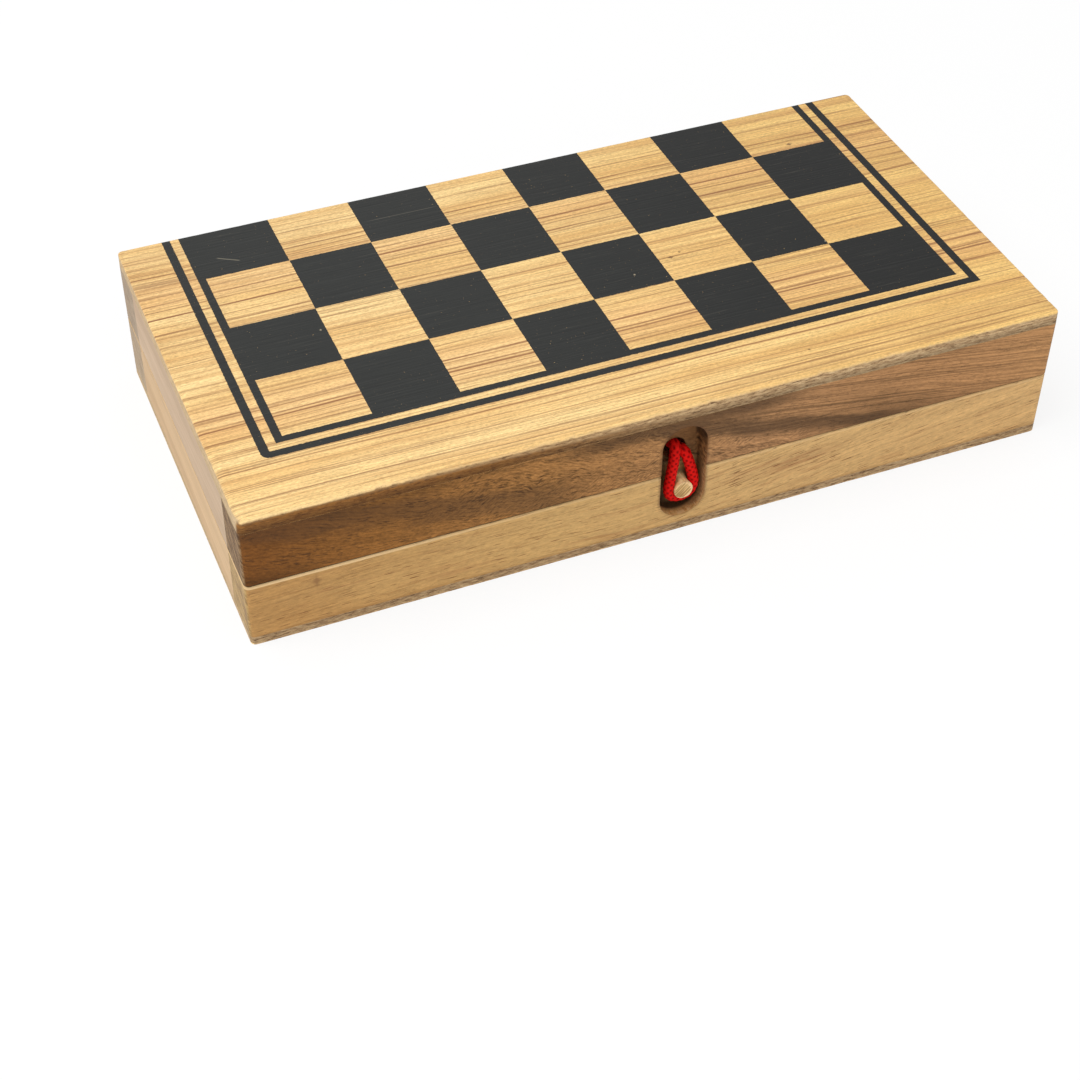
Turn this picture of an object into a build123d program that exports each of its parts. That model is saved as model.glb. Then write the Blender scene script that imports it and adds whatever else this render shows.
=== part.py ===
from build123d import *
import math
import os

# Folding chess box. The frame has its origin under the middle of the closed box, +X along the
# long edge, -Y towards the front with the latch, +Y towards the hinges and +Z up. Millimetres.

# Printed board, whose halves lie on the lid and on the underside
square = 26.0
side_margin = 21.4
front_margin = 30.0
hinge_row = 23.6

# Box
base_height = 21.9
lid_height = 23.45
seam_gap = 0.15
base_panel_thickness = 3.0
lid_panel_thickness = 4.2
long_wall_thickness = 16.6
end_wall_thickness = 15.4
corner_round = 1.6
panel_edge_round = 0.8
seam_ease = 0.35

# Latch
slot_width = 14.2
slot_reach = 16.6
slot_depth = 6.0
slot_x = 4.4
peg_d = 6.0
peg_offset = 0.4
peg_drop = 7.5
peg_embed = 7.0
peg_recess = 0.3
peg_ease = 0.4
cord_d = 3.4
cord_depth = 2.4
cord_peg_gap = 0.2
cord_bend = 3.4
cord_hole_d = 7.2
cord_hole_offset = -0.5
cord_hole_rise = 4.6
strand_offset_x = 1.65
strand_offset_z = 0.6
knot_width = 10.4
knot_height = 6.4
knot_thickness = 4.2
knot_round = 1.8
knot_room = 0.5
knot_clearance = 0.3

# Butt hinges
hinge_spacing = 150.0
hinge_length = 24.0
leaf_width = 11.0
leaf_thickness = 0.9
barrel_d = 3.6
hinge_pin_d = 1.6
pin_running_clearance = 0.05
knuckle_gap = 0.15
barrel_clearance = 0.3
axis_stand_off = 0.1
screw_d = 2.0
screw_head_d = 3.8
screw_length = 9.0
screw_pitch = 14.0
screw_head_sink = 0.1
screw_cross_width = 2.7
screw_slot_width = 0.5
screw_slot_depth = 0.4

# Lift-out tray
tray_clearance = 0.7
tray_height = 25.5
tray_wall = 6.4
tray_bottom_thickness = 2.4
tray_rim_ease = 0.4
felt_thickness = 1.0

# Chessmen, turned to fit the tray in two rows of lying men
columns = 14
officers = 6
row_end_gap = 0.5
man_gap = 0.4
wall_gap = 0.4
middle_gap = 0.2
queen_shortfall = 0.9
bishop_shortfall = 0.6
rook_shortfall = 5.2
pawn_shortfall = 8.2
foot_height = 3.4
ring_height = 2.5
groove_depth = 1.5
shoulder_inset = 1.9
bead_flank = 0.35
collar_height = 1.7
collar_inset = 1.0
collar_step_height = 1.0
collar_step_inset = 2.2
neck_d = 5.6
ball_d = 9.4
ball_crown_d = 3.1
rook_head_height = 8.6
rook_head_bevel = 0.4
crown_height = 10.0
crown_inset = 1.0
crown_rim = 1.2
crown_rim_height = 0.5
queen_button_d = 4.8
queen_button_height = 1.45
king_flare_height = 6.8
king_dome_height = 3.2
finial_height = 6.5
finial_d = 4.2
finial_tip_d = 1.0
knight_foot_height = 2.6
knight_rings = 3
knight_thickness = 11.0
knight_inset = 0.2
knight_sink = 0.5
knight_gap = 0.3
mane_cuts = 3
mane_cut = 2.2
mane_pitch = 2.6
mane_rise = 3.0

# How far a cutting shape runs past the face that it opens
overcut = 1.0

box_length = 8 * square + 2 * side_margin
box_width = hinge_row + 3 * square + front_margin
front_y = -box_width / 2
back_y = box_width / 2
seam_bottom = base_height
seam_top = base_height + seam_gap
seam_mid = base_height + seam_gap / 2
box_height = seam_top + lid_height
ceiling_z = box_height - lid_panel_thickness
inner_length = box_length - 2 * end_wall_thickness
inner_width = box_width - 2 * long_wall_thickness


def block(x0, x1, y0, y1, z0, z1):
    """A box given by its two corners."""
    return Pos((x0 + x1) / 2, (y0 + y1) / 2, (z0 + z1) / 2) * Box(x1 - x0, y1 - y0, z1 - z0)


def rod_y(x, z, y0, y1, diameter):
    """A round bar along Y."""
    return Pos(x, (y0 + y1) / 2, z) * Rot(X=90) * Cylinder(diameter / 2, y1 - y0)


def rod_x(y, z, x0, x1, diameter):
    """A round bar along X."""
    return Pos((x0 + x1) / 2, y, z) * Rot(Y=90) * Cylinder(diameter / 2, x1 - x0)


nodes = {}


def at_corner(edge, y):
    """Whether an upright edge stands at one of the box's two outer corners on that side."""
    centre = edge.center()
    return abs(abs(centre.X) - box_length / 2) < 0.01 and abs(centre.Y - y) < 0.01


def ease_outer_edges(part, z, half_length, half_width, ease):
    """Takes the sharpness off a wall's edges at height z that lie on the frame's outside."""
    edges = []
    for edge in part.edges().filter_by_position(Axis.Z, z - 0.01, z + 0.01):
        centre = edge.center()
        if abs(centre.X) > half_length - corner_round or abs(centre.Y) > half_width - corner_round:
            edges.append(edge)
    return chamfer(edges, ease)


def round_outer_corners(part, y):
    """Rounds the upright edges of a wall or panel that lie at the box's outer corners."""
    edges = part.edges().filter_by(Axis.Z)
    return fillet([edge for edge in edges if at_corner(edge, y)], corner_round)


# Frame walls: the long walls run the whole length and cover the end walls
def long_wall(y_outer, z0, z1, seam_z):
    """A front or back wall of one half, its outer edges eased at the seam."""
    y_inner = y_outer - math.copysign(long_wall_thickness, y_outer)
    y0, y1 = sorted((y_outer, y_inner))
    wall = block(-box_length / 2, box_length / 2, y0, y1, z0, z1)
    wall = round_outer_corners(wall, y_outer)
    return ease_outer_edges(wall, seam_z, box_length / 2, box_width / 2, seam_ease)


def end_wall(side, z0, z1, seam_z):
    """A left or right wall of one half, its outer edge eased at the seam."""
    x_outer = side * box_length / 2
    x0, x1 = sorted((x_outer, x_outer - side * end_wall_thickness))
    wall = block(x0, x1, -inner_width / 2, inner_width / 2, z0, z1)
    return ease_outer_edges(wall, seam_z, box_length / 2, box_width / 2, seam_ease)


def panel(z0, z1, outer_z):
    """A plywood panel over the whole plan of the box, rounded along its outer rim."""
    board = block(-box_length / 2, box_length / 2, front_y, back_y, z0, z1)
    board = round_outer_corners(board, front_y)
    board = round_outer_corners(board, back_y)
    rim = board.faces().filter_by(lambda f: abs(f.center().Z - outer_z) < 0.01).edges()
    return fillet(rim, panel_edge_round)


base_front_wall = long_wall(front_y, base_panel_thickness, seam_bottom, seam_bottom)
base_back_wall = long_wall(back_y, base_panel_thickness, seam_bottom, seam_bottom)
lid_front_wall = long_wall(front_y, seam_top, ceiling_z, seam_top)
lid_back_wall = long_wall(back_y, seam_top, ceiling_z, seam_top)
for side, name in ((-1, "left"), (1, "right")):
    nodes["base_%s_wall" % name] = end_wall(side, base_panel_thickness, seam_bottom, seam_bottom)
    nodes["lid_%s_wall" % name] = end_wall(side, seam_top, ceiling_z, seam_top)
nodes["base_panel"] = panel(0, base_panel_thickness, 0)
nodes["lid_panel"] = panel(ceiling_z, box_height, box_height)

# Latch: a routed slot across the seam, a dowel peg in its lower half, a cord hole in its upper half
slot_floor_y = front_y + slot_depth
slot_outline = Rot(X=90) * SlotOverall(2 * slot_reach, slot_width, rotation=90)
slot = Pos(slot_x, slot_floor_y, seam_mid) * extrude(slot_outline, slot_depth + overcut)
peg_x = slot_x + peg_offset
peg_z = seam_bottom - peg_drop
peg = rod_y(peg_x, peg_z, front_y + peg_recess, slot_floor_y + peg_embed, peg_d)
nodes["base_front_wall"] = base_front_wall - slot - peg
nodes["latch_peg"] = chamfer(peg.edges().sort_by(Axis.Y)[0], peg_ease)

hole_x = slot_x + cord_hole_offset
hole_z = seam_bottom + cord_hole_rise
wall_inner_y = front_y + long_wall_thickness
pocket_y = wall_inner_y - knot_thickness - 2 * knot_clearance
pocket = block(
    hole_x - knot_width / 2 - knot_room,
    hole_x + knot_width / 2 + knot_room,
    pocket_y,
    wall_inner_y + overcut,
    hole_z - knot_height / 2 - knot_room,
    hole_z + knot_height / 2 + knot_room,
)
cord_hole = rod_y(hole_x, hole_z, front_y, wall_inner_y, cord_hole_d)
nodes["lid_front_wall"] = lid_front_wall - slot - cord_hole - pocket

# Elastic cord: out of the hole, round under the peg and back in, its ends in the knot
cord_y = front_y + cord_depth
knot_front_y = pocket_y + knot_clearance
peg_wrap = peg_d / 2 + cord_peg_gap + cord_d / 2


def strand_end(side):
    """Where a strand would turn the corner from the hole to the front plane."""
    return Vector(hole_x + side * strand_offset_x, cord_y, hole_z - side * strand_offset_z)


def tangent_point(corner, side):
    """Where a straight strand from that corner meets the turn round the peg."""
    away = math.hypot(corner.X - peg_x, corner.Z - peg_z)
    lean = math.atan2(corner.X - peg_x, corner.Z - peg_z)
    angle = lean + side * math.acos(peg_wrap / away)
    return Vector(peg_x + peg_wrap * math.sin(angle), cord_y, peg_z + peg_wrap * math.cos(angle))


def strand(side):
    """One strand's run through the hole, its bend and its run to the peg."""
    corner = strand_end(side)
    meets = tangent_point(corner, side)
    down = (meets - corner).normalized()
    inward = Vector(0, 1, 0)
    bend_in = corner + inward * cord_bend
    bend_out = corner + down * cord_bend
    centre = corner + (inward + down) * cord_bend
    middle = centre + (corner - centre).normalized() * cord_bend
    start = Vector(corner.X, knot_front_y, corner.Z)
    return Line(start, bend_in), ThreePointArc(bend_in, middle, bend_out), Line(bend_out, meets), meets


left_run, left_bend, left_drop, left_meets = strand(-1)
right_run, right_bend, right_drop, right_meets = strand(1)
under_peg = ThreePointArc(left_meets, Vector(peg_x, cord_y, peg_z - peg_wrap), right_meets)
cord_path = Wire([left_run, left_bend, left_drop, under_peg, right_drop, right_bend, right_run])
cord_start = Plane(origin=left_run @ 0, z_dir=(0, -1, 0))
nodes["latch_loop"] = sweep(cord_start * Circle(cord_d / 2), path=cord_path)
cord_section = math.pi * cord_d**2 / 4
print(
    "loop length %.1f, bend radii %.2f and %.2f, volume ratio %.4f"
    % (cord_path.length, cord_bend, peg_wrap, nodes["latch_loop"].volume / (cord_section * cord_path.length))
)

knot_blank = extrude(Rot(X=90) * SlotOverall(knot_width, knot_height), knot_thickness)
knot = Pos(hole_x, knot_front_y + knot_thickness, hole_z) * knot_blank
knot = fillet(knot.edges(), knot_round)
nodes["loop_knot"] = knot

# Butt hinges: leaves let into the rims of the back walls, barrels behind the box
axis_y = back_y + axis_stand_off
plate_edge_y = axis_y - barrel_d / 2 - barrel_clearance
knuckle = (hinge_length - 2 * knuckle_gap) / 3


def leaf(x, z0, indexes, bore):
    """A hinge leaf with the knuckles at these places along its barrel."""
    x0 = x - hinge_length / 2
    plate = block(x0, x0 + hinge_length, back_y - leaf_width, plate_edge_y, z0, z0 + leaf_thickness)
    for index in indexes:
        k0 = x0 + index * (knuckle + knuckle_gap)
        plate += block(k0, k0 + knuckle, plate_edge_y - overcut, axis_y, z0, z0 + leaf_thickness)
        plate += rod_x(axis_y, seam_mid, k0, k0 + knuckle, barrel_d)
    return plate - rod_x(axis_y, seam_mid, x0 - overcut, x0 + hinge_length + overcut, bore)


def screw_blank():
    """A countersunk screw's head and shank, driven down from the origin."""
    head_height = (screw_head_d - screw_d) / 2
    head = Pos(0, 0, -head_height / 2) * Cone(screw_d / 2, screw_head_d / 2, head_height)
    return head + Pos(0, 0, -screw_length / 2) * Cylinder(screw_d / 2, screw_length)


def screw():
    """The screw, with a cross recess in its head."""
    recess = Box(screw_cross_width, screw_slot_width, 2 * screw_slot_depth)
    return screw_blank() - recess - Rot(Z=90) * recess


def screw_hole():
    """What a screw takes out of the leaf and the wall, open to the leaf's face."""
    mouth = Pos(0, 0, screw_head_sink / 2) * Cylinder(screw_head_d / 2, screw_head_sink)
    return screw_blank() + mouth


screw_y = (back_y - leaf_width + plate_edge_y) / 2
base_screws = []
lid_screws = []
bed_y = back_y - leaf_width
for side, name in ((-1, "left"), (1, "right")):
    x = side * hinge_spacing / 2
    x0 = x - hinge_length / 2
    x1 = x + hinge_length / 2
    base_leaf = leaf(x, seam_bottom - leaf_thickness, (0, 2), hinge_pin_d)
    lid_leaf = leaf(x, seam_top, (1,), hinge_pin_d + 2 * pin_running_clearance)
    leaf_bed = block(x0, x1, bed_y, back_y + overcut, -leaf_thickness, leaf_thickness)
    base_back_wall -= Pos(0, 0, seam_bottom) * leaf_bed
    lid_back_wall -= Pos(0, 0, seam_top) * leaf_bed
    relief_d = barrel_d + 2 * barrel_clearance
    relief = rod_x(axis_y, seam_mid, x0 - barrel_clearance, x1 + barrel_clearance, relief_d)
    base_back_wall -= relief
    lid_back_wall -= relief
    for offset in (-screw_pitch / 2, screw_pitch / 2):
        down = Pos(x + offset, screw_y, seam_bottom - screw_head_sink)
        up = Pos(x + offset, screw_y, seam_top + screw_head_sink) * Rot(X=180)
        base_screws.append(down * screw())
        lid_screws.append(up * screw())
        base_leaf -= down * screw_hole()
        base_back_wall -= down * screw_hole()
        lid_leaf -= up * screw_hole()
        lid_back_wall -= up * screw_hole()
    nodes["hinge_%s_base_leaf" % name] = base_leaf
    nodes["hinge_%s_lid_leaf" % name] = lid_leaf
    nodes["hinge_%s_pin" % name] = rod_x(axis_y, seam_mid, x0, x1, hinge_pin_d)
nodes["base_back_wall"] = base_back_wall
nodes["lid_back_wall"] = lid_back_wall
nodes["base_hinge_screws"] = Compound(children=base_screws)
nodes["lid_hinge_screws"] = Compound(children=lid_screws)

# Lift-out tray
tray_length = inner_length - 2 * tray_clearance
tray_width = inner_width - 2 * tray_clearance
tray_z0 = base_panel_thickness
tray_floor_z = tray_z0 + tray_bottom_thickness
tray_top_z = tray_z0 + tray_height
well_length = tray_length - 2 * tray_wall
well_width = tray_width - 2 * tray_wall
felt_z = tray_floor_z + felt_thickness
half_l = tray_length / 2
half_w = tray_width / 2
well_x = well_length / 2
well_y = well_width / 2
nodes["tray_bottom"] = block(-half_l, half_l, -half_w, half_w, tray_z0, tray_floor_z)
tray_walls = {
    "front": (-half_l, half_l, -half_w, -well_y),
    "back": (-half_l, half_l, well_y, half_w),
    "left": (-half_l, -well_x, -well_y, well_y),
    "right": (well_x, half_l, -well_y, well_y),
}
for name, sides in tray_walls.items():
    wall = block(*sides, tray_floor_z, tray_top_z)
    nodes["tray_%s_wall" % name] = ease_outer_edges(wall, tray_top_z, half_l, half_w, tray_rim_ease)
nodes["tray_felt"] = block(-well_x, well_x, -well_y, well_y, tray_floor_z, felt_z)

# Chessmen
pitch = (well_length - 2 * row_end_gap) / columns
foot_d = pitch - man_gap
row_depth = well_y - wall_gap - middle_gap / 2
king_height = row_depth
queen_height = row_depth - queen_shortfall
bishop_height = row_depth - bishop_shortfall
rook_height = row_depth - rook_shortfall
pawn_height = row_depth - pawn_shortfall
knight_height = ((columns - officers) * pitch - 4 * knight_gap) / 3


class Outline:
    """The half outline of a turned man, drawn from the foot upwards along its axis."""

    def __init__(self):
        self.edges = []
        self.r = 0.0
        self.z = 0.0

    def line(self, r, z):
        if math.hypot(r - self.r, z - self.z) > 1e-6:
            self.edges.append(Line((self.r, 0, self.z), (r, 0, z)))
        self.r, self.z = r, z

    def bead(self, r, height):
        """A ring with a rounded rim."""
        self.line(r - height * bead_flank, self.z)
        self.arc(r, height / 2, self.r, height)

    def arc(self, r1, rise1, r2, rise2):
        """A round turn through two more points, each given by its radius and its rise."""
        middle = (r1, 0, self.z + rise1)
        end = (r2, 0, self.z + rise2)
        self.edges.append(ThreePointArc((self.r, 0, self.z), middle, end))
        self.r, self.z = r2, self.z + rise2

    def curve(self, points):
        """A smooth swell through (radius, height above the start) points."""
        through = [(self.r, 0, self.z)] + [(r, 0, self.z + h) for r, h in points]
        self.edges.append(Spline(through))
        self.r, self.z = points[-1][0], self.z + points[-1][1]

    def turned(self):
        self.line(0, self.z)
        self.line(0, 0)
        return revolve(make_face(Wire(self.edges)), Axis.Z)


def man(height, head_height, collar_steps=1):
    """Foot, ring, onion-shaped body and stepped collar, ready for a head of that height."""
    r = foot_d / 2
    outline = Outline()
    outline.bead(r, foot_height)
    outline.line(r - groove_depth, outline.z)
    outline.bead(r, ring_height)
    outline.line(r - shoulder_inset, outline.z)
    collar = collar_height + collar_steps * collar_step_height
    body = height - foot_height - ring_height - collar - head_height
    shoulder = (r * 0.86, body * 0.64)
    outline.curve([(r - 0.1, body * 0.36), shoulder, (r * 0.52, body * 0.88), (neck_d / 2, body)])
    outline.bead(r - collar_inset, collar_height)
    for step in range(collar_steps):
        outline.bead(r - collar_step_inset, collar_step_height)
    return outline


ball_centre_rise = math.sqrt((ball_d / 2) ** 2 - (neck_d / 2) ** 2)
ball_height = ball_centre_rise + math.sqrt((ball_d / 2) ** 2 - (ball_crown_d / 2) ** 2)


def ball(outline):
    """A round head that grows out of the neck."""
    outline.line(neck_d / 2, outline.z)
    outline.arc(ball_d / 2, ball_centre_rise, ball_crown_d / 2, ball_height)


def finial(outline):
    """The pear-shaped tip of a bishop or a king."""
    outline.curve([(finial_d / 2, finial_height * 0.3), (finial_tip_d / 2, finial_height)])


def flare(outline, height):
    """A crown that opens out from the neck."""
    outline.line(neck_d / 2, outline.z)
    outline.curve([(neck_d / 2 + 0.5, height * 0.4), (foot_d / 2 - crown_inset, height)])


def pawn():
    outline = man(pawn_height, ball_height, collar_steps=0)
    ball(outline)
    return outline.turned()


def rook():
    outline = man(rook_height, rook_head_height)
    outline.line(ball_d / 2, outline.z)
    outline.line(ball_d / 2, outline.z + rook_head_height - rook_head_bevel)
    outline.line(ball_d / 2 - rook_head_bevel, outline.z + rook_head_bevel)
    return outline.turned()


def bishop():
    outline = man(bishop_height, ball_height + finial_height)
    ball(outline)
    finial(outline)
    return outline.turned()


def queen():
    outline = man(queen_height, crown_height + crown_rim_height + queen_button_height)
    flare(outline, crown_height)
    outline.line(outline.r - crown_rim, outline.z + crown_rim_height)
    outline.bead(queen_button_d / 2, queen_button_height)
    return outline.turned()


def king():
    outline = man(king_height, king_flare_height + king_dome_height + finial_height)
    flare(outline, king_flare_height)
    outline.line(ball_crown_d / 2, outline.z + king_dome_height)
    finial(outline)
    return outline.turned()


def knight():
    """Three turned rings, and above them a flat sawn horse's head that looks along +X."""
    r = foot_d / 2
    outline = Outline()
    for ring in range(knight_rings):
        outline.line(r - groove_depth, outline.z)
        outline.bead(r, knight_foot_height)
    outline.line(r - groove_depth, outline.z)
    rings = outline.z
    foot = outline.turned()
    rise = knight_height - rings
    reach = math.sqrt((r - knight_inset) ** 2 - (knight_thickness / 2) ** 2)
    sunk = rings - knight_sink
    neck = [(-r + knight_inset, rings + rise * 0.3), (-r * 0.75, rings + rise * 0.66)]
    ears = (-r * 0.3, knight_height)
    muzzle = (r - knight_inset, rings + rise * 0.4)
    lip = (r * 0.74, rings + rise * 0.28)
    jaw = (r * 0.42, rings + rise * 0.36)
    throat = [(r * 0.12, rings + rise * 0.26), (r * 0.34, rings + rise * 0.16)]
    outline = [(-reach, sunk)] + neck + [ears, muzzle, lip, jaw] + throat + [(reach, sunk)]
    profile = make_face(Polyline(*[(x, 0, z) for x, z in outline], close=True))
    head = extrude(profile, knight_thickness / 2, dir=(0, 1, 0), both=True)
    for cut in range(mane_cuts):
        cut_z = rings + mane_rise + cut * mane_pitch
        head -= Pos(-r, 0, cut_z) * Rot(Y=45) * Box(mane_cut, knight_thickness + overcut, mane_cut)
    return foot + head


def column_x(index):
    """Where the axis of the man in that column lies."""
    return -well_x + row_end_gap + (index + 0.5) * pitch


axis_z = felt_z + foot_d / 2


def laid(piece, index, height, row, turned_round):
    """A man lying across the tray: row -1 at the front and 1 at the back, foot at the wall or inward."""
    wall_y = row * (well_y - wall_gap)
    foot_y = wall_y - row * height if turned_round else wall_y
    towards = row if turned_round else -row
    return Pos(column_x(index), foot_y, axis_z) * Rot(X=-90 * towards) * piece


def lying_knight(foot_x, towards, z):
    """A knight lying along the tray on its flat side, foot at foot_x, head towards +X or -X."""
    return Pos(foot_x, 0, z) * Rot(Z=90 - 90 * towards) * Rot(Y=90) * Rot(Z=90) * men["knight"]


men = {
    "king": king(),
    "queen": queen(),
    "bishop": bishop(),
    "rook": rook(),
    "pawn": pawn(),
    "knight": knight(),
}
heights = {
    "king": king_height,
    "queen": queen_height,
    "bishop": bishop_height,
    "rook": rook_height,
    "pawn": pawn_height,
}
order = ["king", "queen", "bishop", "bishop", "rook", "rook"]
for colour, row in (("light", -1), ("dark", 1)):
    for index, kind in enumerate(order):
        name = "%s_%s" % (colour, kind)
        if order.count(kind) > 1:
            name += "_%d" % order[: index + 1].count(kind)
        turned_round = colour == "dark" and kind == "queen"
        nodes[name] = laid(men[kind], index, heights[kind], row, turned_round)
    pawns = []
    for index in range(officers, columns):
        turned_round = (index % 2 == 0) == (colour == "light")
        pawns.append(laid(men["pawn"], index, pawn_height, row, turned_round))
    nodes["%s_pawns" % colour] = Compound(children=pawns)

# The knights lie along the tray on the gap between the rows, the first one on top of its neighbours
pawn_zone_x = column_x(officers) - pitch / 2
knight_step = knight_height + knight_gap
stack_z = axis_z + ball_d / 2 + knight_thickness / 2
nodes["dark_knight_1"] = lying_knight(pawn_zone_x - knight_step, 1, stack_z)
nodes["dark_knight_2"] = lying_knight(pawn_zone_x + knight_step, -1, axis_z)
nodes["light_knight_1"] = lying_knight(pawn_zone_x + knight_step + knight_gap, 1, axis_z)
nodes["light_knight_2"] = lying_knight(pawn_zone_x + 3 * knight_step, -1, axis_z)

os.makedirs("parts", exist_ok=True)
for name, shape in nodes.items():
    export_step(shape, "parts/%s.step" % name)
print("%d nodes, box %.1f x %.1f x %.2f" % (len(nodes), box_length, box_width, box_height))
print("tray %.1f x %.1f x %.1f, men %.2f across" % (tray_length, tray_width, tray_height, foot_d))
print("peg (%.2f, %.2f), hole (%.2f, %.2f)" % (peg_x, peg_z, hole_x, hole_z))
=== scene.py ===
import math

import bmesh
import bpy
from mathutils import Matrix, Vector, noise


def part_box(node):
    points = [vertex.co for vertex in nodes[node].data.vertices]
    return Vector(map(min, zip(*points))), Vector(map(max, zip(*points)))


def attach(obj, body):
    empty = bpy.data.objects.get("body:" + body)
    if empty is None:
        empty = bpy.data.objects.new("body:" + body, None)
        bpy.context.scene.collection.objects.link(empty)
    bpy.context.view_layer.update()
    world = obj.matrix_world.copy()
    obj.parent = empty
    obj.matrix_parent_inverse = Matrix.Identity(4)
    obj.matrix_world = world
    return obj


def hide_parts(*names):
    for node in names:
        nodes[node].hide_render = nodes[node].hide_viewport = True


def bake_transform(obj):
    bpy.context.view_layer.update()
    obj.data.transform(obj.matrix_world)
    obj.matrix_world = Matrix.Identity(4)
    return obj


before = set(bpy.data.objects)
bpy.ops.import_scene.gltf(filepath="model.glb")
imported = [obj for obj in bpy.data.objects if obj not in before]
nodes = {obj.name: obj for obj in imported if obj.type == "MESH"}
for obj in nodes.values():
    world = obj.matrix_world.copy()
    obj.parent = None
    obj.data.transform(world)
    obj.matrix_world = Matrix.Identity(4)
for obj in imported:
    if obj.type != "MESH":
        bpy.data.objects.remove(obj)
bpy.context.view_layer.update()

MM = 0.001

# The box, in millimetres, as its solids are made
box_length = 250.8
box_width = 131.6
square = 26
board_half = 4 * square
first_row_y = 42.2
seam_z = 21.975
lid_top_z = 45.5
lid_skin_z = 41.3
base_skin_z = 3
corner_round = 1.6
front_y = -box_width / 2
slot_x = 4.4
slot_straight = 9.5
peg_x = 4.8
peg_z = 14.4
tray_x = 109.2
tray_y = 48.4
tray_rim_z = 28.5
felt_low_z = 5.4
well_x = 102.9
well_y = 42.1
man_pitch = 14.63
ring_step = 0.12
plait_strands = 5
plait_pitch = 1.8
knight_rings_height = 7.8
knight_eye = (26.5, 0.6)

# The printed frame round the squares: its lines, and where its corners start to bend
print_lines = ((0, 2.35), (5.1, 7.6))
print_bend = 5.2
# Small marks on the lid: chips in the black paint, and dents in the veneer with their size
paint_chips = ((16.1, -2.8), (-79.7, 5.8), (77.8, -8.2))
veneer_dents = ((92.5, 44.8, 1.7), (30, 1.4, 1.7), (33.6, 3, 1.3), (48, -54.6, 1.3))


def link(name, data):
    """Puts new data into the scene as an object at the origin."""
    thing = bpy.data.objects.new(name, data)
    bpy.context.scene.collection.objects.link(thing)
    return thing


# Camera
def place_camera():
    """A camera in front and to the left, looking down at the closed box."""
    azimuth, elevation, roll = math.radians(22.48), math.radians(43.07), math.radians(0.551)
    turn = Matrix.Rotation(-azimuth, 4, "Z") @ Matrix.Rotation(math.pi / 2 - elevation, 4, "X")
    data = bpy.data.cameras.new("camera")
    data.sensor_width = 36
    data.lens = 68.4
    data.clip_start = 0.01
    camera = link("camera", data)
    place = Matrix.Translation((-0.2024, -0.4586, 0.4079))
    camera.matrix_world = place @ turn @ Matrix.Rotation(roll, 4, "Z")
    bpy.context.scene.camera = camera


place_camera()


# Meshes and cords
def finished(name, mesh, material, smooth=True):
    """Turns a finished bmesh into an object with its material."""
    for face in mesh.faces:
        face.smooth = smooth
    data = bpy.data.meshes.new(name)
    mesh.to_mesh(data)
    mesh.free()
    data.materials.append(material)
    return link(name, data)


def uneven(*place):
    """Smooth noise at a point, from about -1 to 1."""
    return noise.noise(Vector(place))


def fuzzy(*place):
    """Smooth noise at a point, from about 0 to 1."""
    return 0.5 + 0.5 * uneven(*place)


def share_of(value, low, high):
    """0 up to low, 1 from high on, even between; it falls instead where low is the greater."""
    return max(0, min(1, (value - low) / (high - low)))


def long_edges(mesh, axis, least):
    """The edges that run more than the least length along one axis."""
    return [
        edge for edge in mesh.edges
        if abs((edge.verts[0].co - edge.verts[1].co)[axis]) > least * MM
    ]


def turned(mesh, points, axis, steps, merge):
    """Turns a line of points round an axis through the origin."""
    profile = [mesh.verts.new(point) for point in points]
    edges = [mesh.edges.new(pair) for pair in zip(profile, profile[1:])]
    settings = {"cent": (0, 0, 0), "axis": axis, "angle": math.tau, "steps": steps}
    bmesh.ops.spin(mesh, geom=profile + edges, use_merge=True, **settings)
    bmesh.ops.remove_doubles(mesh, verts=mesh.verts, dist=merge)


def smooth_line(name, corners, closed=False):
    """The points of a NURBS line that the corners guide, an even step apart."""
    curve = bpy.data.curves.new(name, "CURVE")
    curve.dimensions = "3D"
    curve.resolution_u = 64
    spline = curve.splines.new("NURBS")
    spline.points.add(len(corners) - 1)
    for point, corner in zip(spline.points, corners):
        point.co = (*(value * MM for value in corner), 1)
    spline.order_u = 3
    spline.use_endpoint_u = not closed
    spline.use_cyclic_u = closed
    guide = link(name, curve)
    line = bpy.data.meshes.new_from_object(guide)
    dense = [vertex.co.copy() for vertex in line.vertices]
    bpy.data.objects.remove(guide)
    bpy.data.curves.remove(curve)
    bpy.data.meshes.remove(line)
    if closed:
        dense.append(dense[0])
    points = [dense[0]]
    left = ring_step * MM
    for start, end in zip(dense, dense[1:]):
        length = (end - start).length
        while left <= length:
            points.append(start.lerp(end, left / length))
            left += ring_step * MM
        left -= length
    return points


def plait_height(one, other):
    """The height, 0 to 1, of a plait of two sets of strands that pass over each other in turn."""
    if (math.floor(one) + math.floor(other)) % 2:
        one, other = other, one
    across = abs(math.sin(math.pi * one))
    along = abs(math.sin(math.pi * other))
    return math.sqrt(across) * (0.45 + 0.55 * along)


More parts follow.
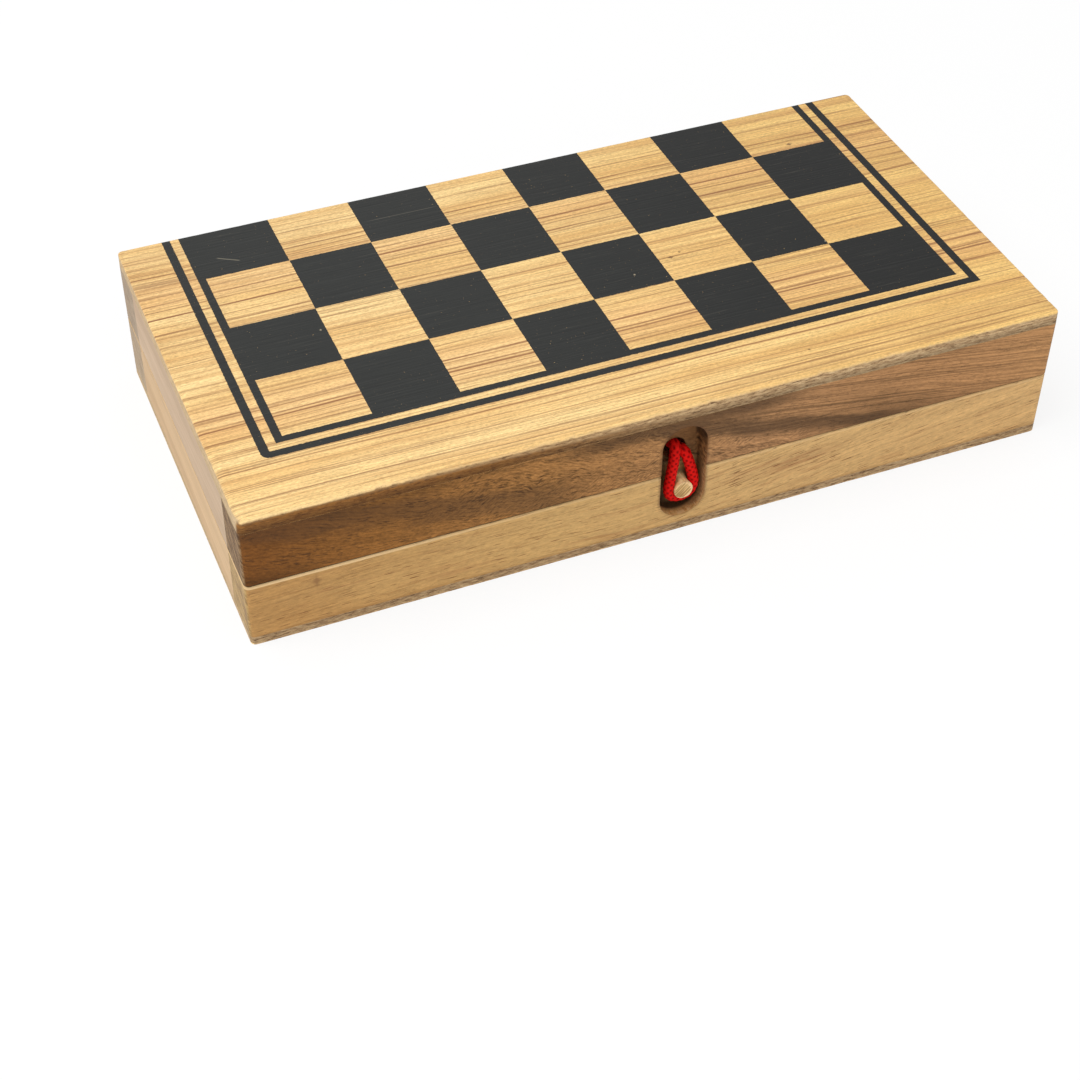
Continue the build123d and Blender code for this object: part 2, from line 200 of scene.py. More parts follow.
def plaited_cord(points, radius, relief):
    """A plaited tube round a line of points; its UV map counts strands round and along."""
    sides = 72
    mesh = bmesh.new()
    strand_map = mesh.loops.layers.uv.new("plait")
    ring = bmesh.ops.create_circle(mesh, segments=sides, radius=radius * MM)["verts"]
    edges = mesh.edges[:]
    last = len(points) - 1
    forward = (points[1] - points[0]).normalized()
    side = forward.orthogonal().normalized()
    run = 0
    places = {}
    for index, point in enumerate(points):
        if index:
            run += (point - points[index - 1]).length / MM
            grown = bmesh.ops.extrude_edge_only(mesh, edges=edges)["geom"]
            ring = [part for part in grown if isinstance(part, bmesh.types.BMVert)]
            edges = [part for part in grown if isinstance(part, bmesh.types.BMEdge)]
        heading = (points[min(index + 1, last)] - points[max(index - 1, 0)]).normalized()
        side = forward.rotation_difference(heading) @ side
        forward = heading
        up = forward.cross(side)
        for step, vertex in enumerate(ring):
            round_it = plait_strands * step / sides
            along_it = run / plait_pitch
            high = plait_height(round_it + along_it, round_it - along_it)
            reach = (radius - relief * (1 - high)) * MM
            angle = math.tau * step / sides
            vertex.co = point + (side * math.cos(angle) + up * math.sin(angle)) * reach
            places[vertex] = (round_it, along_it)
    loose = [edge for edge in mesh.edges if edge.is_boundary]
    bmesh.ops.holes_fill(mesh, edges=loose, sides=0)
    bmesh.ops.recalc_face_normals(mesh, faces=mesh.faces)
    for face in mesh.faces:
        furthest = max(places[vertex][0] for vertex in face.verts)
        for corner in face.loops:
            round_it, along_it = places[corner.vert]
            behind = furthest - round_it > plait_strands / 2 and len(face.verts) == 4
            corner[strand_map].uv = (round_it + plait_strands * behind, along_it)
    return mesh


# Finishes
class Reading:
    """A number or colour read across a surface; arithmetic with it adds nodes to its finish."""

    def __init__(self, finish, socket):
        self.finish = finish
        self.socket = socket

    def __abs__(self):
        return reckon("ABSOLUTE", self)

    def __add__(self, other):
        return reckon("ADD", self, other)

    def __sub__(self, other):
        return reckon("SUBTRACT", self, other)

    def __rsub__(self, other):
        return reckon("SUBTRACT", other, self)

    def __mul__(self, other):
        return reckon("MULTIPLY", self, other)

    def __truediv__(self, other):
        return reckon("DIVIDE", self, other)

    __radd__ = __add__
    __rmul__ = __mul__


class Finish:
    """A material or the room, put together from readings."""

    def __init__(self, name, room=False):
        self.material = bpy.data.worlds.new(name) if room else bpy.data.materials.new(name)
        self.material.use_nodes = True
        self.tree = self.material.node_tree
        self.tree.nodes.clear()
        self.output = self.add("ShaderNodeOutput" + ("World" if room else "Material"), {}, {})

    def add(self, kind, settings, sockets):
        """Adds a node: its settings first, then the values or links of its sockets."""
        node = self.tree.nodes.new(kind)
        for name, value in settings.items():
            setattr(node, name, value)
        for key, value in sockets.items():
            if isinstance(value, Reading):
                self.tree.links.new(value.socket, node.inputs[key])
            elif isinstance(value, tuple) and len(node.inputs[key].default_value) == 4:
                node.inputs[key].default_value = (*value, 1)
            else:
                node.inputs[key].default_value = value
        return node

    def read(self, kind, settings, sockets, output=0):
        """One output of a new node."""
        return Reading(self, self.add(kind, settings, sockets).outputs[output])

    def end(self, shader):
        self.tree.links.new(shader.socket, self.output.inputs["Surface"])

    def dress(self, colour, roughness, height=None, gloss=0.5, **fixed):
        """Ends the finish: colour, roughness, relief in millimetres and fixed shader values."""
        sockets = {"Base Color": colour, "Roughness": roughness, "Specular IOR Level": gloss}
        sockets.update({name.replace("_", " "): value for name, value in fixed.items()})
        if height is not None:
            bump = {"Strength": 1, "Distance": MM, "Height": height}
            sockets["Normal"] = self.read("ShaderNodeBump", {}, bump)
        self.end(self.read("ShaderNodeBsdfPrincipled", {}, sockets))
        return self.material


def read(kind, settings, sockets, output=0):
    """One output of a new node, in the finish that the readings on its sockets belong to."""
    finish = next(value.finish for value in sockets.values() if isinstance(value, Reading))
    return finish.read(kind, settings, sockets, output)


def numbers(spot):
    """The three numbers of a vector."""
    apart = spot.finish.add("ShaderNodeSeparateXYZ", {}, {"Vector": spot})
    return [Reading(spot.finish, apart.outputs[axis]) for axis in "XYZ"]


def begin(name):
    """A new finish, and where its point lies, in millimetres, as three readings."""
    finish = Finish(name)
    spot = finish.read("ShaderNodeTexCoord", {}, {}, "Object")
    sockets = {"Vector": spot, "Scale": 1 / MM}
    return finish, *numbers(read("ShaderNodeVectorMath", {"operation": "SCALE"}, sockets))


def reckon(operation, *values):
    return read("ShaderNodeMath", {"operation": operation}, dict(enumerate(values)))


def most(first, *others):
    """The greatest of all the values."""
    for other in others:
        first = reckon("MAXIMUM", first, other)
    return first


def distance(x, y):
    """How far the point x, y lies from zero."""
    return reckon("SQRT", x * x + y * y)


def vector(x, y, z=0):
    return read("ShaderNodeCombineXYZ", {}, {"X": x, "Y": y, "Z": z})


def cloud(x, y, z=0, detail=2, roughness=0.5):
    """Soft noise from 0 to 1 whose coordinates are already in repeats."""
    sockets = {"Vector": vector(x, y, z), "Scale": 1, "Detail": detail, "Roughness": roughness}
    return read("ShaderNodeTexNoise", {}, sockets, "Fac")


def between(value, low, high):
    """0 below low, 1 above high, smooth between; it falls instead where low is the greater."""
    sockets = {"Value": value, "From Min": low, "From Max": high}
    return read("ShaderNodeMapRange", {"interpolation_type": "SMOOTHSTEP"}, sockets)


def inside(value, low, high, soft):
    """1 between low and high, with soft edges of that width outside."""
    return between(value, low - soft, low) * between(value, high + soft, high)


def mix(share, first, second, way="MIX"):
    settings = {"data_type": "RGBA", "blend_type": way}
    return read("ShaderNodeMix", settings, {0: share, 6: first, 7: second}, 2)


def ramp(value, *stops):
    """A colour that runs through stops, each a place from 0 to 1 and its colour."""
    blend = read("ShaderNodeValToRGB", {}, {"Fac": value})
    marks = blend.socket.node.color_ramp.elements
    while len(marks) < len(stops):
        marks.new(1)
    for mark, (place, colour) in zip(marks, stops):
        mark.position = place
        mark.color = (*colour, 1)
    return blend


def shade(colour, factor):
    """The colour made darker or lighter by a factor."""
    grey = vector(factor, factor, factor) if isinstance(factor, Reading) else (factor,) * 3
    return mix(1, colour, grey, "MULTIPLY")


def grain(along, across, through, seed, pore_share=0.7, pore_length=8, pore_rate=2):
    """The figure of sawn hardwood: its tone about 0.5, its pores, its relief and its fibres."""
    drift = cloud(along * 0.012 + seed, across * 0.05, through * 0.05) * 9
    line = across + drift
    bands = cloud(along * 0.006 + seed, line * 0.15, through * 0.12, 2)
    lines = cloud(along * 0.01, line * 1.15 + seed, through * 0.8, 4, 0.7)
    fibres = cloud(along * 0.09, line * 3, through * 3 + seed, 4, 0.7)
    tone = bands * 0.22 + lines * 0.44 + fibres * 0.48 - 0.07
    pore_line, pore_depth = line * pore_rate, through * pore_rate
    open_pores = cloud(along / pore_length + seed, pore_line, pore_depth, 1, 0.4)
    crowd = between(cloud(along * 0.03, line * 0.25, seed, 2), 0.36, 0.6)
    pores = between(open_pores, 0.625, 0.68) * (0.3 + crowd * 0.7) * pore_share
    height = fibres * 0.03 - pores * 0.09
    return tone, pores, height, fibres


def arris_wear_and_highlight(colour, x, z, pale, share):
    """The arris below the seam, paler to the left: partly rubbed wear, partly a painted highlight
    on the rounded edge.
    """
    below = inside(z, seam_z - 0.75, seam_z - 0.05, 0.25)
    rub = below * (0.35 + between(x, -30, -100) * 0.65)
    return mix(rub * share, colour, pale)


def seam_shadow(colour, x, z):
    """The thin shadow along the seam, on the lid's lower edge."""
    above = inside(z, seam_z, seam_z + 0.45, 0.15)
    above = above * (0.45 + between(x, 0, -70) * 0.5)
    return mix(above, colour, shade(colour, 0.28))


def end_grain(colour, x, y, z, dull, warm):
    """Crosscut wood at the long walls' two ends: greyer, with tight rings."""
    end = between(abs(x), box_length / 2 - 0.6, box_length / 2 - 0.15)
    ring = cloud(y * 0.12 + z * 0.1, z * 0.55 - y * 0.3, 4, 4, 0.65)
    dots = cloud(y * 2.4, z * 2.4, 6, 2)
    cut = ramp(ring * 0.75 + dots * 0.25, (0.41, dull), (0.57, warm))
    return mix(end * 0.85, colour, cut)


def scorched_slot(colour, x, y, z):
    """The routed latch slot: scorched sides that are rubbed clean low down, and a floor darkened
    with painted shade; deep under the loop, painted shadow adds to the scorching.
    """
    straight = most(abs(z - seam_z) - slot_straight, 0)
    aside = x - slot_x
    ragged = cloud(x * 0.8, z * 0.8, y * 0.5, 4, 0.65)
    splinter = cloud(x * 0.5, z * 1.6, 5, 3, 0.6)
    reach = distance(aside, straight) + ragged * 1.2 - 0.6
    depth = y - front_y
    low = between(z, 12.5, 8.5)
    high = between(z, 28, 32)
    rim = between(reach, 6.4, 7) * between(reach, 7.7 + splinter, 7.1)
    skin = between(depth, 0.6, 0.1)
    colour = mix(rim * skin * (0.6 - low * 0.35), colour, (0.135, 0.062, 0.026))
    soot = ramp(ragged, (0.34, (0.055, 0.024, 0.009)), (0.62, (0.32, 0.15, 0.054)))
    soot = mix(high * 0.7, soot, (0.022, 0.011, 0.007))
    soot = mix(between(z, 26, 15) * 0.35, soot, (0.5, 0.29, 0.13))
    rubbed = ramp(ragged, (0.36, (0.34, 0.155, 0.048)), (0.6, (0.58, 0.335, 0.125)))
    clean = low * between(depth + ragged * 2.4 + between(aside, 2, 6) * 2, 4.8, 3.2)
    # Deep and low in the slot, under the loop, the sides and floor go almost black: partly
    # scorching, partly painted shadow of the loop.
    burnt_and_shaded = low * between(depth + ragged * 1.2, 3.4, 4.6)
    side = mix(burnt_and_shaded * 0.8, soot, (0.016, 0.007, 0.003))
    side = mix(clean * 0.92, side, rubbed)
    chipped = between(splinter, 0.49, 0.58) * between(depth, 2.4, 0.8)
    side = mix(chipped * between(z, 30, 24) * 0.75, side, (0.56, 0.36, 0.17))
    # Painted shade: the slot's floor is darkened in patches, and most on its left, where the left
    # wall shades it.
    left_floor_shade = 1 - between(x, 2.5, 0.5) * 0.6
    scorched_and_shaded_floor = shade(colour, (cloud(x * 0.6, z * 0.35, 3, 3) * 0.7 + 0.35) * left_floor_shade)
    scorched_and_shaded_floor = mix(between(z, 24, 29) * 0.7, scorched_and_shaded_floor, (0.215, 0.098, 0.034))
    scorched_and_shaded_floor = mix(burnt_and_shaded * 0.7, scorched_and_shaded_floor, (0.03, 0.013, 0.005))
    cut = mix(between(reach, 5.6, 6.8), scorched_and_shaded_floor, side)
    sunk = between(depth, 0.15, 0.8) * between(reach, 8, 7.3)
    sunk = sunk * between(depth, 6.4, 6.1)
    return mix(sunk, colour, cut)


def lid_front_finish():
    """Brown figured wood, darker to the left, with a dark heart streak and curly patches."""
    finish, x, y, z = begin("lid_front_timber")
    heart = z + x * 0.24 - 39 + (cloud(x * 0.05, z * 0.25, 5, 3) - 0.5) * 7
    right_patch = inside(x, 10, 36, 14) * between(heart, -1, -4.5)
    curly = most(inside(x, -60, -8, 22), right_patch)
    swirl = (cloud(x * 0.075, z * 0.09, 14, 2) - 0.5) * (curly * 7 + 1.5)
    wave = (cloud(x * 0.018, z * 0.03, 1, 1) - 0.5) * 9
    across = z + x * 0.17 + wave + swirl
    tone, pores, height, fibres = grain(x, across, y, 3, 1, 2.4, 3.2)
    base = ramp(
        (x + 130) / 260,
        (0.03, (0.175, 0.064, 0.012)),
        (0.17, (0.255, 0.108, 0.025)),
        (0.36, (0.325, 0.154, 0.047)),
        (0.6, (0.385, 0.2, 0.086)),
        (0.84, (0.428, 0.218, 0.09)),
        (0.98, (0.462, 0.238, 0.096)),
    )
    falls = between(cloud(x * 0.06, z * 0.07, 61, 1), 0.44, 0.56)
    inwards = (y - front_y) * 0.8 + 2
    rising = cloud(x * 0.34 + z * 0.22, z * 1.55 - x * 1 + swirl, inwards, 3, 0.62)
    falling = cloud(x * 0.34 - z * 0.1, z * 1.8 + x * 0.5 + swirl, inwards + 2, 3, 0.62)
    ripple = rising + (falling - rising) * falls
    flecks = between(ripple, 0.57, 0.66) * curly
    mottle = cloud(x * 0.75, across * 1.5, y * 0.8, 3, 0.72) - 0.5
    figure = tone * 2.2 - 0.07 + (ripple - 0.5) * (curly * 2.4 + 0.3)
    colour = shade(base, figure + mottle * (1.5 - between(x, 0, 60) * 0.8))
    colour = mix(flecks * 0.42, colour, (0.105, 0.05, 0.02))
    ray = cloud(x * 0.008, (z + x * 0.165) * 1.6, 33, 3, 0.66)
    rays = between(ray, 0.5, 0.58) * between(x, -10, 30)
    rays = rays * between(heart, -1, 3) * (1 - between(x, 60, 130) * 0.35)
    streak = between(heart, -6, -1.2) * between(heart, 3.6, 1.4)
    streak = streak * inside(x, 4, 60, 34) * (0.82 + between(tone, 0.62, 0.36) * 0.25)
    band = z + x * 0.19 - 19.6 + (cloud(x * 0.04, z * 0.2, 7, 3) - 0.5) * 9
    heavy = inside(band, -2.6, 2.2, 4) * inside(x, -120, -38, 20)
    corner = between(z, 28.5, 23) * between(x, -92, -118)
    crown = between(z + (tone - 0.5) * 9, 35.5, 40) * inside(x, -18, 26, 24)
    dark = most(streak * 0.95, heavy * 0.5, crown * 0.97, rays * 0.62, corner * 0.55)
    beyond = between(heart, 13.5, 4.5) * between(x, 45, 70)
    under_panel = between(z, 38, 40.5) * inside(x, -98, -58, 18)
    colour = shade(colour, (1 - beyond * 0.38) * (1 - under_panel * 0.28))
    colour = mix(dark, colour, shade(colour, 0.36))
    colour = mix(most(streak, heavy, crown) * 0.25, colour, (0.112, 0.058, 0.03))
    colour = mix(pores * (0.7 - between(x, 0, 50) * 0.45), colour, (0.06, 0.026, 0.01))
    colour = end_grain(colour, x, y, z, (0.08, 0.038, 0.014), (0.35, 0.224, 0.106))
    colour = seam_shadow(colour, x, z)
    colour = scorched_slot(colour, x, y, z)
    return finish.dress(colour, 0.48 + fibres * 0.18, height, gloss=0.1)


def base_front_finish():
    """Even yellow-tan wood with short dark pores that rise a little to the right."""
    finish, x, y, z = begin("base_front_timber")
    across = z - most(x, 0) * 0.12 - x * 0.02 + (cloud(x * 0.02, z * 0.04, 8, 1) - 0.5) * 5
    tone, pores, height, fibres = grain(x, across, y, 7, 1, 10)
    base = ramp(
        (x + 130) / 260 + (cloud(x * 0.03, z * 0.12, 15, 2) - 0.5) * 0.25,
        (0.05, (0.45, 0.245, 0.08)),
        (0.35, (0.56, 0.345, 0.128)),
        (0.65, (0.6, 0.375, 0.15)),
        (0.95, (0.62, 0.38, 0.152)),
    )
    mottle = cloud(x * 0.6, across * 1.3, y * 0.8, 3, 0.72) - 0.5
    colour = shade(base, tone * 1.3 + 0.36 + mottle * 0.7)
    rusty = cloud(x * 0.035, across * 0.45, 12, 3, 0.6)
    cluster = inside(x, 22, 48, 16) * inside(z, 11, 16, 4)
    rust = between(rusty, 0.54, 0.7) * 0.35 + between(rusty, 0.4, 0.62) * cluster * 0.25
    colour = mix(rust, colour, (0.36, 0.165, 0.062))
    knot = abs(x + 105.5) * 0.9 + abs(z - 18) * 0.55 + tone * 3
    colour = mix(between(knot, 3.4, 1.7) * 0.65, colour, (0.2, 0.09, 0.035))
    dash = cloud(x * 0.16, across * 3, (y - front_y) * 3 + 31, 1, 0.4)
    dashes = between(dash + cluster * 0.05, 0.675, 0.705)
    colour = mix(pores * 0.3, colour, (0.3, 0.125, 0.03))
    colour = mix(dashes * 0.9, colour, (0.165, 0.062, 0.018))
    colour = mix(between(z + dash * 1.6, 4.9, 3.7) * 0.5, colour, (0.34, 0.16, 0.045))
    colour = end_grain(colour, x, y, z, (0.2, 0.108, 0.03), (0.53, 0.35, 0.128))
    colour = seam_shadow(arris_wear_and_highlight(colour, x, z, (0.8, 0.56, 0.29), 0.85), x, z)
    colour = scorched_slot(colour, x, y, z)
    return finish.dress(colour, 0.44 + fibres * 0.16, height, gloss=0.18)


def back_finish(name, pale, dark, seed, slant):
    """A plain back wall, its grain along its length."""
    finish, x, y, z = begin(name)
    tone, pores, height, fibres = grain(x, z + x * slant, y, seed)
    colour = ramp(tone, (0.4, dark), (0.66, pale))
    colour = mix(pores * 0.6, colour, shade(colour, 0.35))
    colour = end_grain(colour, x, y, z, (0.24, 0.165, 0.095), (0.42, 0.315, 0.205))
    colour = seam_shadow(arris_wear_and_highlight(colour, x, z, pale, 0.5), x, z)
    return finish.dress(colour, 0.46 + fibres * 0.16, height, gloss=0.32)


def end_wall_finish(name, pale, dark, seed, slant):
    """An end wall: smoother and lighter, with soft ribbons along Y."""
    finish, x, y, z = begin(name)
    tone, pores, height, fibres = grain(y, z + y * slant, x, seed, 0.5)
    ribbon = cloud(y * 0.012 + seed, z * 0.09 + y * slant * 0.1, 2, 2)
    colour = ramp(tone * 0.7 + ribbon * 0.34, (0.4, dark), (0.64, pale))
    colour = mix(pores * 0.45, colour, shade(colour, 0.45))
    colour = seam_shadow(arris_wear_and_highlight(colour, x, z, pale, 0.5), x, z)
    return finish.dress(colour, 0.46 + fibres * 0.14, height, gloss=0.32)


def veneer(x, y, seed, rows):
    """Straw-yellow veneer with long thin red-brown stripes; returns colour, stripes and fibres."""
    bend = (cloud(x * 0.006 + seed, y * 0.02, 3, 2) - 0.5) * 4
    line = y + bend + (cloud(x * 0.05, y * 0.4, 6, 2) - 0.5) * 0.45
    fade = between(cloud(x * 0.03, line * 0.9, seed + 8, 3, 0.6), 0.3, 0.56)
    stripes = [
        between(abs(line - row), half + 0.2, half - 0.12) * strength
        for row, half, strength in rows
    ]
    thin = cloud(x * 0.003, line * 0.95, seed + 5, 2, 0.6)
    thin = between(thin, 0.56, 0.61) * 0.72
    drawn = most(most(*stripes) * (fade * 0.55 + 0.45), thin * (fade * 0.75 + 0.1))
    halo = cloud(x * 0.003, line * 0.42, seed + 2, 2, 0.5)
    halo = between(halo, 0.5, 0.64)
    red = inside(line, 34.5, 42.5, 4) + inside(line, -29.5, -19, 4)
    fleck = cloud(x * 0.8, line * 1.9, seed + 7, 4, 0.72)
    hair = cloud(x * 0.05, line * 2.1, seed + 9, 3, 0.7)
    wisp = between(cloud(x * 0.035, line * 1.5, seed + 13, 3, 0.6), 0.52, 0.64)
    tone = cloud(x * 0.01, line * 0.11, seed + 4, 3)
    warm = between(x, -70, 125)
    straw = ramp(tone, (0.36, (0.755, 0.48, 0.186)), (0.64, (0.86, 0.61, 0.275)))
    amber = ramp(tone, (0.36, (0.665, 0.396, 0.126)), (0.64, (0.79, 0.518, 0.18)))
    colour = mix(warm, straw, amber)
    colour = mix(red * 0.3, colour, (0.74, 0.4, 0.165))
    colour = shade(colour, hair * 1.32 + fleck * 1.42 - 0.32 - between(y, -40, 45) * 0.07)
    colour = mix(halo * 0.4, colour, (0.56, 0.3, 0.108))
    colour = mix(wisp * 0.3, colour, (0.5, 0.27, 0.095))
    colour = mix(drawn * 0.94, colour, (0.245, 0.092, 0.034))
    dash = between(cloud(x * 0.3, line * 1.8, seed + 11, 1), 0.66, 0.71)
    colour = mix(dash * 0.5, colour, (0.4, 0.185, 0.07))
    return colour, drawn, hair


# Lines of the veneer's growth: the place along Y, half the width and the strength of each
veneer_rows = (
    (61.5, 0.2, 0.4), (48.8, 0.32, 0.85), (46.6, 0.22, 0.6), (43.4, 0.45, 0.45),
    (38.6, 0.2, 0.5), (35, 0.34, 0.9), (31.7, 0.24, 0.75), (28, 0.34, 0.95),
    (20.2, 0.4, 0.75), (18.3, 0.2, 0.6), (3.5, 0.16, 0.35), (-13.8, 0.22, 0.6),
    (-17.2, 0.2, 0.45), (-21.4, 0.36, 0.9), (-25.6, 0.34, 0.8), (-26.9, 0.34, 0.9),
    (-32.6, 0.24, 0.85), (-40, 0.18, 0.5), (-46.2, 0.24, 0.8), (-52.8, 0.2, 0.55),
    (-59.2, 0.26, 0.75), (-63, 0.2, 0.5),
)


def printed_half(x, y, first_row):
    """1 where the half board is printed: its dark squares and the two lines round them."""
    print_x = x + (cloud(x * 1.3, y * 1.3, 11, 4, 0.65) - 0.5) * 0.55
    print_y = y + (cloud(x * 0.9, y * 1.5, 13, 4, 0.65) - 0.5) * 0.55
    column = reckon("FLOOR", print_x / square + 8)
    row = reckon("FLOOR", (first_row_y - print_y) / square + first_row)
    odd = reckon("PINGPONG", column + row, 1)
    aside = abs(print_x) - board_half
    ahead = (first_row_y - 3 * square) - print_y
    out = most(aside, ahead)
    rounded = print_bend + distance(most(aside - print_bend, 0), most(ahead - print_bend, 0))
    corner = reckon("GREATER_THAN", out, print_bend) * reckon("LESS_THAN", print_x, 0)
    out = out + (rounded - out) * corner
    squares = (1 - odd) * reckon("LESS_THAN", out, 0.05)
    inner_line, outer_line = (inside(out, low, high, 0.12) for low, high in print_lines)
    return most(squares, inner_line + outer_line)


def printed_black(x, y, hair, rough, on_lid):
    """The print's black, lighter to the left as painted sheen, thin in streaks, and on the lid
    scratched and chipped.
    """
    black = ramp(hair, (0.3, (0.01, 0.0108, 0.0101)), (0.72, (0.0238, 0.0252, 0.0232)))
    # Painted sheen: the black is lighter to the left and darker to the right, standing for the
    # lamp's reflection in the paint.
    black = shade(black, 1.02 - between(x, -70, 110) * 0.75)
    thin = between(cloud(x * 0.05, y * 1.5, 19, 3, 0.7), 0.56, 0.78)
    black = mix(thin * 0.4, black, (0.075, 0.07, 0.055))
    if not on_lid:
        return black
    scratch = inside(abs(x * 0.5 + y * 0.86 + 4.85), 0, 0.12, 0.2)
    scratch = scratch * inside(x * 0.86 - y * 0.5, -109.4, -103.6, 1)
    hairline = inside(x, -46, -30, 5) * inside(abs(y - 53.3), 0, 0.05, 0.15)
    for line, share in ((scratch, 0.6), (hairline, 0.3)):
        black = mix(line * share, black, (0.22, 0.2, 0.15))
    for at_x, at_y in paint_chips:
        from_chip = abs(x - at_x) + abs(y - at_y) + rough * 0.5
        black = mix(between(from_chip, 0.85, 0.45) * 0.7, black, (0.45, 0.38, 0.26))
    return black


def ply_core(x, y, depth, fuzz, on_lid):
    """The plies at a board's rim; the lid's are darker low down and stained at the front left, and
    the base's are darkened and greyed with painted shade.
    """
    plies = reckon("SINE", depth * 4.4 + fuzz * 2) * 0.5 + 0.5
    core = ramp(
        fuzz,
        (0.33, (0.12, 0.068, 0.032)),
        (0.45, (0.36, 0.225, 0.11)),
        (0.66, (0.62, 0.44, 0.24)),
    )
    core = shade(core, plies * 0.2 + 0.84)
    front = between(y, front_y + 3, front_y + 0.8)
    brightness = 1.16 + between(depth, 1.2, 0.5) * front * 0.35
    if on_lid:
        layer = between(depth + (fuzz - 0.5) * 1.6, 2.3, 3.1) * front
        core = shade(core, brightness - layer * 0.34)
        reach_down = depth - 0.9 - between(x, -110, 30) * 2 + (fuzz - 0.5) * 2.4
        worn_left = between(x, 40, -60) * front
        stain = between(reach_down, -0.6, 0.6) * worn_left
        core = mix(stain, core, (0.58, 0.39, 0.18), "MULTIPLY")
        core = mix(worn_left * 0.6, core, (0.7, 0.6, 0.46), "MULTIPLY")
    else:
        # Painted shade: on the base the plies are darkened and greyed all round, as they sit low
        # by the floor.
        core = mix(0.75, shade(core, brightness), (0.74, 0.73, 0.72), "MULTIPLY")
    side = between(abs(y), 63, 65)
    return mix((1 - side) * 0.5, core, (0.7, 0.54, 0.33))


def board_finish(name, inner_z, outer_z):
    """A veneered panel: printed half board outside, plies where its rim is worn or sawn."""
    finish, x, y, z = begin(name)
    on_lid = outer_z > inner_z
    depth = outer_z - z if on_lid else z - outer_z
    rough = cloud(x * 0.9, y * 0.9, z * 0.9, 4, 0.65)
    seed, first_row, rows = 0, 9, veneer_rows
    if not on_lid:
        seed, first_row = 20, 10
        rows = [(9 - row, half, strength) for row, half, strength in veneer_rows]
    skin, stripes, hair = veneer(x, y, seed, rows)
    bare = between(cloud(x * 1.8, y * 2.6, 17, 2), 0.735, 0.76)
    cover = printed_half(x, y, first_row) * (1 - bare * 0.85)
    cover = cover * between(depth + rough * 0.5, 0.5, 0.36)
    face = mix(cover, skin, printed_black(x, y, hair, rough, on_lid))
    for at_x, at_y, size in veneer_dents if on_lid else ():
        from_dent = abs(x - at_x) + abs(y - at_y) * 1.4 + rough * 0.8
        face = mix(between(from_dent, size, size - 0.6) * 0.75, face, (0.12, 0.055, 0.022))
    fuzz = cloud(x * 0.45, y * 0.45, z * 2.4, 4, 0.7)
    sawn = between(depth + rough * 0.9 - 0.45, 0.35, 0.85)
    if not on_lid:
        sawn = most(sawn, between(y, front_y + 0.3, front_y + 0.1))
    rub = between(depth + rough * 0.8 - 0.4, 0.1, 0.45)
    face = mix(rub * (0.4 if on_lid else 0.15), face, (0.72, 0.52, 0.26))
    colour = mix(sawn, face, ply_core(x, y, depth, fuzz, on_lid))
    inner_depth = abs(outer_z - inner_z)
    within = between(depth, inner_depth - 0.03, inner_depth - 0.01)
    colour = mix(within, colour, shade(skin, 0.66))
    roughness = 0.42 + hair * 0.12 + sawn * 0.3 + cover * 0.08
    height = hair * 0.03 - stripes * 0.03 + cover * 0.02 + sawn * fuzz * 0.3
    return finish.dress(colour, roughness, height, gloss=0.25)


def peg_finish():
    """A whittled dowel: oblique lines on its end, a bright arris, brightest at the lower right,
    and a neck coloured pale as painted light, with painted shade at its root.
    """
    finish, x, y, z = begin("peg_timber")
    fibres = cloud((x + z) * 0.9, y * 0.08, (x - z) * 3, 3, 0.6)
    lines = cloud((x - z) * 1.5, (x + z) * 0.1, 2, 2, 0.6)
    colour = ramp(lines, (0.4, (0.36, 0.215, 0.08)), (0.6, (0.72, 0.48, 0.215)))
    from_axis = distance(x - peg_x, z - peg_z)
    arris = between(from_axis + (lines - 0.5) * 1.2, 2.1, 2.75)
    lower_right = between((x - peg_x) - (z - peg_z), -2, 2)
    colour = mix(arris * (0.35 + lower_right * 0.5), colour, (0.95, 0.68, 0.38))
    # Painted light: the neck is coloured nearly white-tan so that it shows as bright as the head,
    # though it lies in the slot's shade.
    neck = ramp(fibres, (0.36, (0.8, 0.54, 0.22)), (0.62, (1, 0.78, 0.4)))
    # Painted shade: the neck darkens towards its root, deep in the slot.
    neck = mix(between(y, front_y + 4.2, front_y + 5.6) * 0.6, neck, (0.1, 0.05, 0.02))
    colour = mix(between(y, front_y + 0.8, front_y + 1.2), colour, neck)
    return finish.dress(colour, 0.5 + fibres * 0.15, lines * 0.06, gloss=0.12)


def cord_finish():
    """Bright red plaited elastic, dark red in the small gaps of the plait as painted shade."""
    finish, x, y, z = begin("red_plait")
    round_it, along_it, _ = numbers(finish.read("ShaderNodeUVMap", {"uv_map": "plait"}, {}))
    turns = ((round_it + along_it) * math.pi, (round_it - along_it) * math.pi)
    from_gap = distance(*(reckon("SINE", turn) for turn in turns))
    fuzz = cloud(x * 6, y * 6, z * 6, 2)
    worn = cloud(x * 0.3, y * 0.3, z * 0.3, 2)
    # Painted shade: the dark red where the strands part stands for the shade in the small gaps of
    # the plait.
    thread = ramp(
        from_gap + (fuzz - 0.5) * 0.15,
        (0.3, (0.2, 0.001, 0.001)),
        (0.85, (0.47, 0.003, 0.002)),
        (1, (0.64, 0.007, 0.005)),
    )
    thread = shade(thread, worn * 0.4 + 0.8)
    return finish.dress(thread, 0.6 + fuzz * 0.1, fuzz * 0.03, gloss=0.06)


